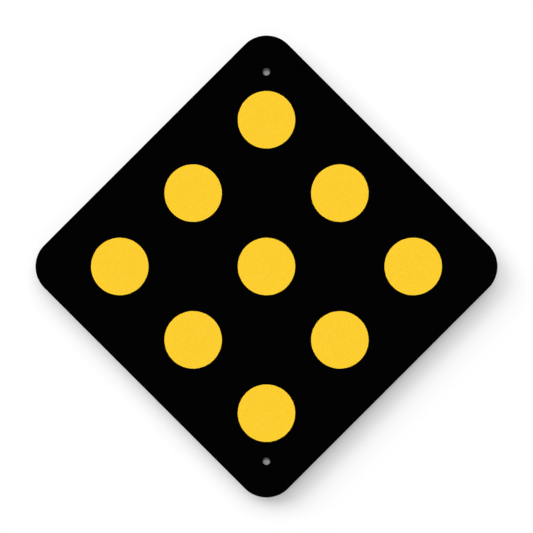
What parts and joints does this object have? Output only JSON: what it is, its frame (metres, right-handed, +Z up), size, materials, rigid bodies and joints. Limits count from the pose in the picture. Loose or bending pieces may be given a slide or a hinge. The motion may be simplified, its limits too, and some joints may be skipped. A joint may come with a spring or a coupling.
{
  "type": "object marker sign",
  "caption": "Flat diamond-shaped road marker: black-faced aluminium plate with a grid of round yellow reflectors and bolt holes near its top and bottom corners.",
  "frame": {"origin": "centre of the back face of the blank, midway between the two bolt holes", "axes": "+Z up to the top corner, +X to the right as the face is seen, +Y out of the back; the face looks along -Y"},
  "size_m": [0.6128, 0.0025, 0.6128],
  "materials": {
    "blank_aluminium": "mill rolled",
    "black_film": "semi-gloss",
    "white_backing": "matte",
    "yellow_prismatic": "smooth over prismatic cells"
  },
  "bodies": {
    "root": {"sign_blank": "blank_aluminium", "black_face_film": "black_film", "reflector_backing_top": "white_backing", "reflector_film_top": "yellow_prismatic", "reflector_backing_upper_left": "white_backing", "reflector_film_upper_left": "yellow_prismatic", "reflector_backing_upper_right": "white_backing", "reflector_film_upper_right": "yellow_prismatic", "reflector_backing_left": "white_backing", "reflector_film_left": "yellow_prismatic", "reflector_backing_centre": "white_backing", "reflector_film_centre": "yellow_prismatic", "reflector_backing_right": "white_backing", "reflector_film_right": "yellow_prismatic", "reflector_backing_lower_left": "white_backing", "reflector_film_lower_left": "yellow_prismatic", "reflector_backing_lower_right": "white_backing", "reflector_film_lower_right": "yellow_prismatic", "reflector_backing_bottom": "white_backing", "reflector_film_bottom": "yellow_prismatic"}
  },
  "joints": []
}
